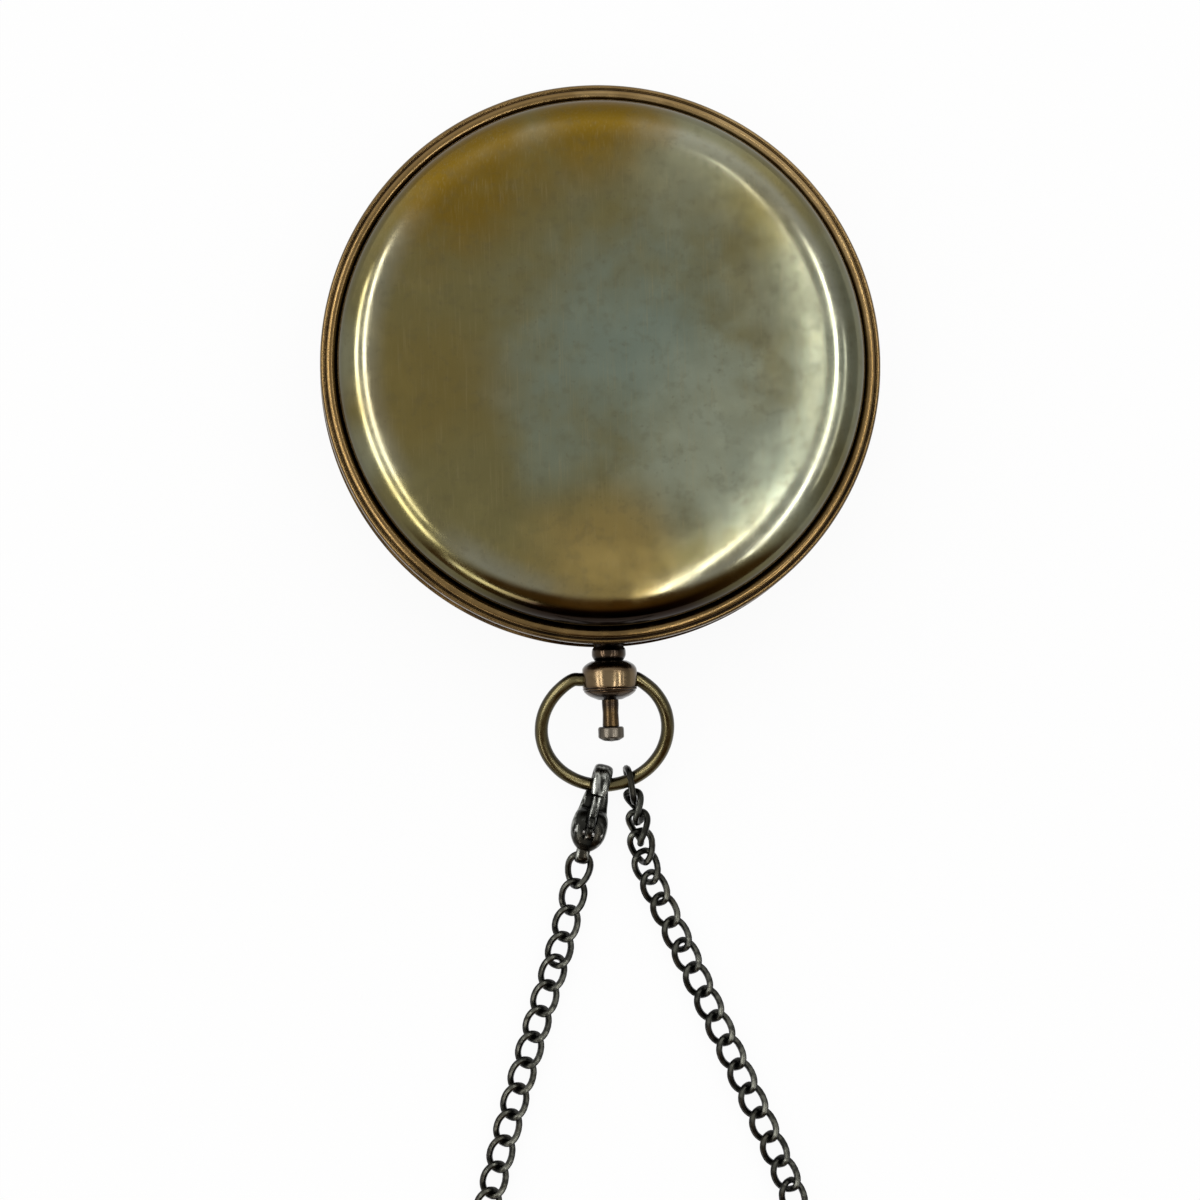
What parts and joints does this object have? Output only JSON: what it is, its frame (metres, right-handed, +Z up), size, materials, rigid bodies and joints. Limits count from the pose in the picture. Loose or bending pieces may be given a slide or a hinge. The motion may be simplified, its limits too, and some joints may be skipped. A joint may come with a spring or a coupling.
{
  "type": "pocket sundial compass",
  "caption": "Round brass pocket sundial compass in a lidded hunter case, with pendant, push button, bow, spring clasp and curb chain.",
  "frame": {"origin": "centre of the flat face of the back that the case rests on", "axes": "+Z up through the lid, +Y to the lid's hinge, the pendant and chain towards -Y"},
  "size_m": [0.056, 0.1499, 0.0146],
  "materials": {
    "antique_brass": "antiqued olive-brown, semi-gloss",
    "warm_brass": "turned, warm brown-gold",
    "steel": "plain",
    "gunmetal": "dark plating, worn bright on the edges",
    "silvered_dial": "silvered, engraved and filled black",
    "blued_steel": "heat blued",
    "card": "printed",
    "crystal": "clear"
  },
  "bodies": {
    "case": {"case_band": "antique_brass", "back_cover": "antique_brass", "case_knuckle_left": "warm_brass", "case_knuckle_right": "warm_brass", "hinge_pin": "steel", "hour_ring": "silvered_dial", "ring_screw_1": "warm_brass", "ring_screw_2": "warm_brass", "ring_screw_3": "warm_brass", "ring_screw_4": "warm_brass", "gnomon_post_north": "warm_brass", "gnomon_post_south": "warm_brass", "compass_bowl": "antique_brass", "compass_card": "card", "compass_glass": "crystal", "pivot_pin": "steel", "pendant_neck": "warm_brass", "pendant_ball": "warm_brass", "lift_spring": "steel", "lift_spring_screw": "steel", "catch_pivot": "steel"},
    "lid": {"lid_rim": "warm_brass", "lid_dome": "antique_brass", "lid_knuckle": "warm_brass"},
    "gnomon": {"gnomon": "warm_brass"},
    "button": {"button_stem": "warm_brass", "button_head": "warm_brass"},
    "catch": {"catch_lever": "steel", "catch_spring": "steel"},
    "bow": {"bow": "antique_brass"},
    "needle": {"compass_needle": "blued_steel", "needle_cap": "warm_brass"},
    "chain_head": {"clasp_body": "gunmetal", "clasp_pin": "steel", "chain_end_link": "gunmetal", "chain_left_near": "gunmetal", "chain_right_near": "gunmetal"},
    "clasp_gate": {"clasp_lever": "gunmetal"},
    "chain_middle": {"chain_left_middle": "gunmetal", "chain_right_middle": "gunmetal"},
    "chain_tail": {"chain_loop": "gunmetal"}
  },
  "joints": [
    {"name": "lid_open", "type": "hinge", "parent": "case", "child": "lid", "pos_m": [0, 0.027, 0.00765], "axis": [-1, 0, 0], "range_deg": [0, 105]},
    {"name": "gnomon_raise", "type": "hinge", "parent": "case", "child": "gnomon", "pos_m": [0, 0, 0.00875], "axis": [0, -1, 0], "range_deg": [0, 90]},
    {"name": "push_button", "type": "slide", "parent": "case", "child": "button", "axis": [0, 1, 0], "range_m": [0, 0.001], "stiffness_N_per_m": 600},
    {"name": "catch_release", "type": "hinge", "parent": "case", "child": "catch", "pos_m": [0.01839, -0.01543, 0.00475], "axis": [0, 0, -1], "range_deg": [0, 3.4]},
    {"name": "bow_swing", "type": "hinge", "parent": "case", "child": "bow", "pos_m": [0, -0.03139, 0.0068], "axis": [-1, 0, 0], "range_deg": [-50, 110]},
    {"name": "needle_spin", "type": "hinge", "parent": "case", "child": "needle", "pos_m": [0, 0, 0.005], "axis": [0, 0, 1], "continuous": true},
    {"name": "chain_swing", "type": "hinge", "parent": "bow", "child": "chain_head", "pos_m": [0.00052, -0.042, 0.00175], "axis": [-0.9864, -0.1485, -0.0708], "range_deg": [-70, 15]},
    {"name": "clasp_open", "type": "hinge", "parent": "chain_head", "child": "clasp_gate", "pos_m": [-0.00235, -0.04699, 0.00245], "axis": [-0.9622, 0.2723, 0], "range_deg": [0, 20], "stiffness_Nm_per_rad": 0.002},
    {"name": "chain_fold_near", "type": "hinge", "parent": "chain_head", "child": "chain_middle", "pos_m": [0.00049, -0.05948, 0.00079], "axis": [-0.9965, -0.0838, -0.0018], "range_deg": [-35, 15]},
    {"name": "chain_fold_far", "type": "hinge", "parent": "chain_middle", "child": "chain_tail", "pos_m": [0.00164, -0.08472, 0.0008], "axis": [-0.9981, -0.0614, 0], "range_deg": [-35, 15]}
  ],
  "couplings": [
    {"joint": "gnomon_raise", "follows": "lid_open", "ratio": 0.857},
    {"joint": "catch_release", "follows": "push_button", "rad_per_m": 56}
  ]
}
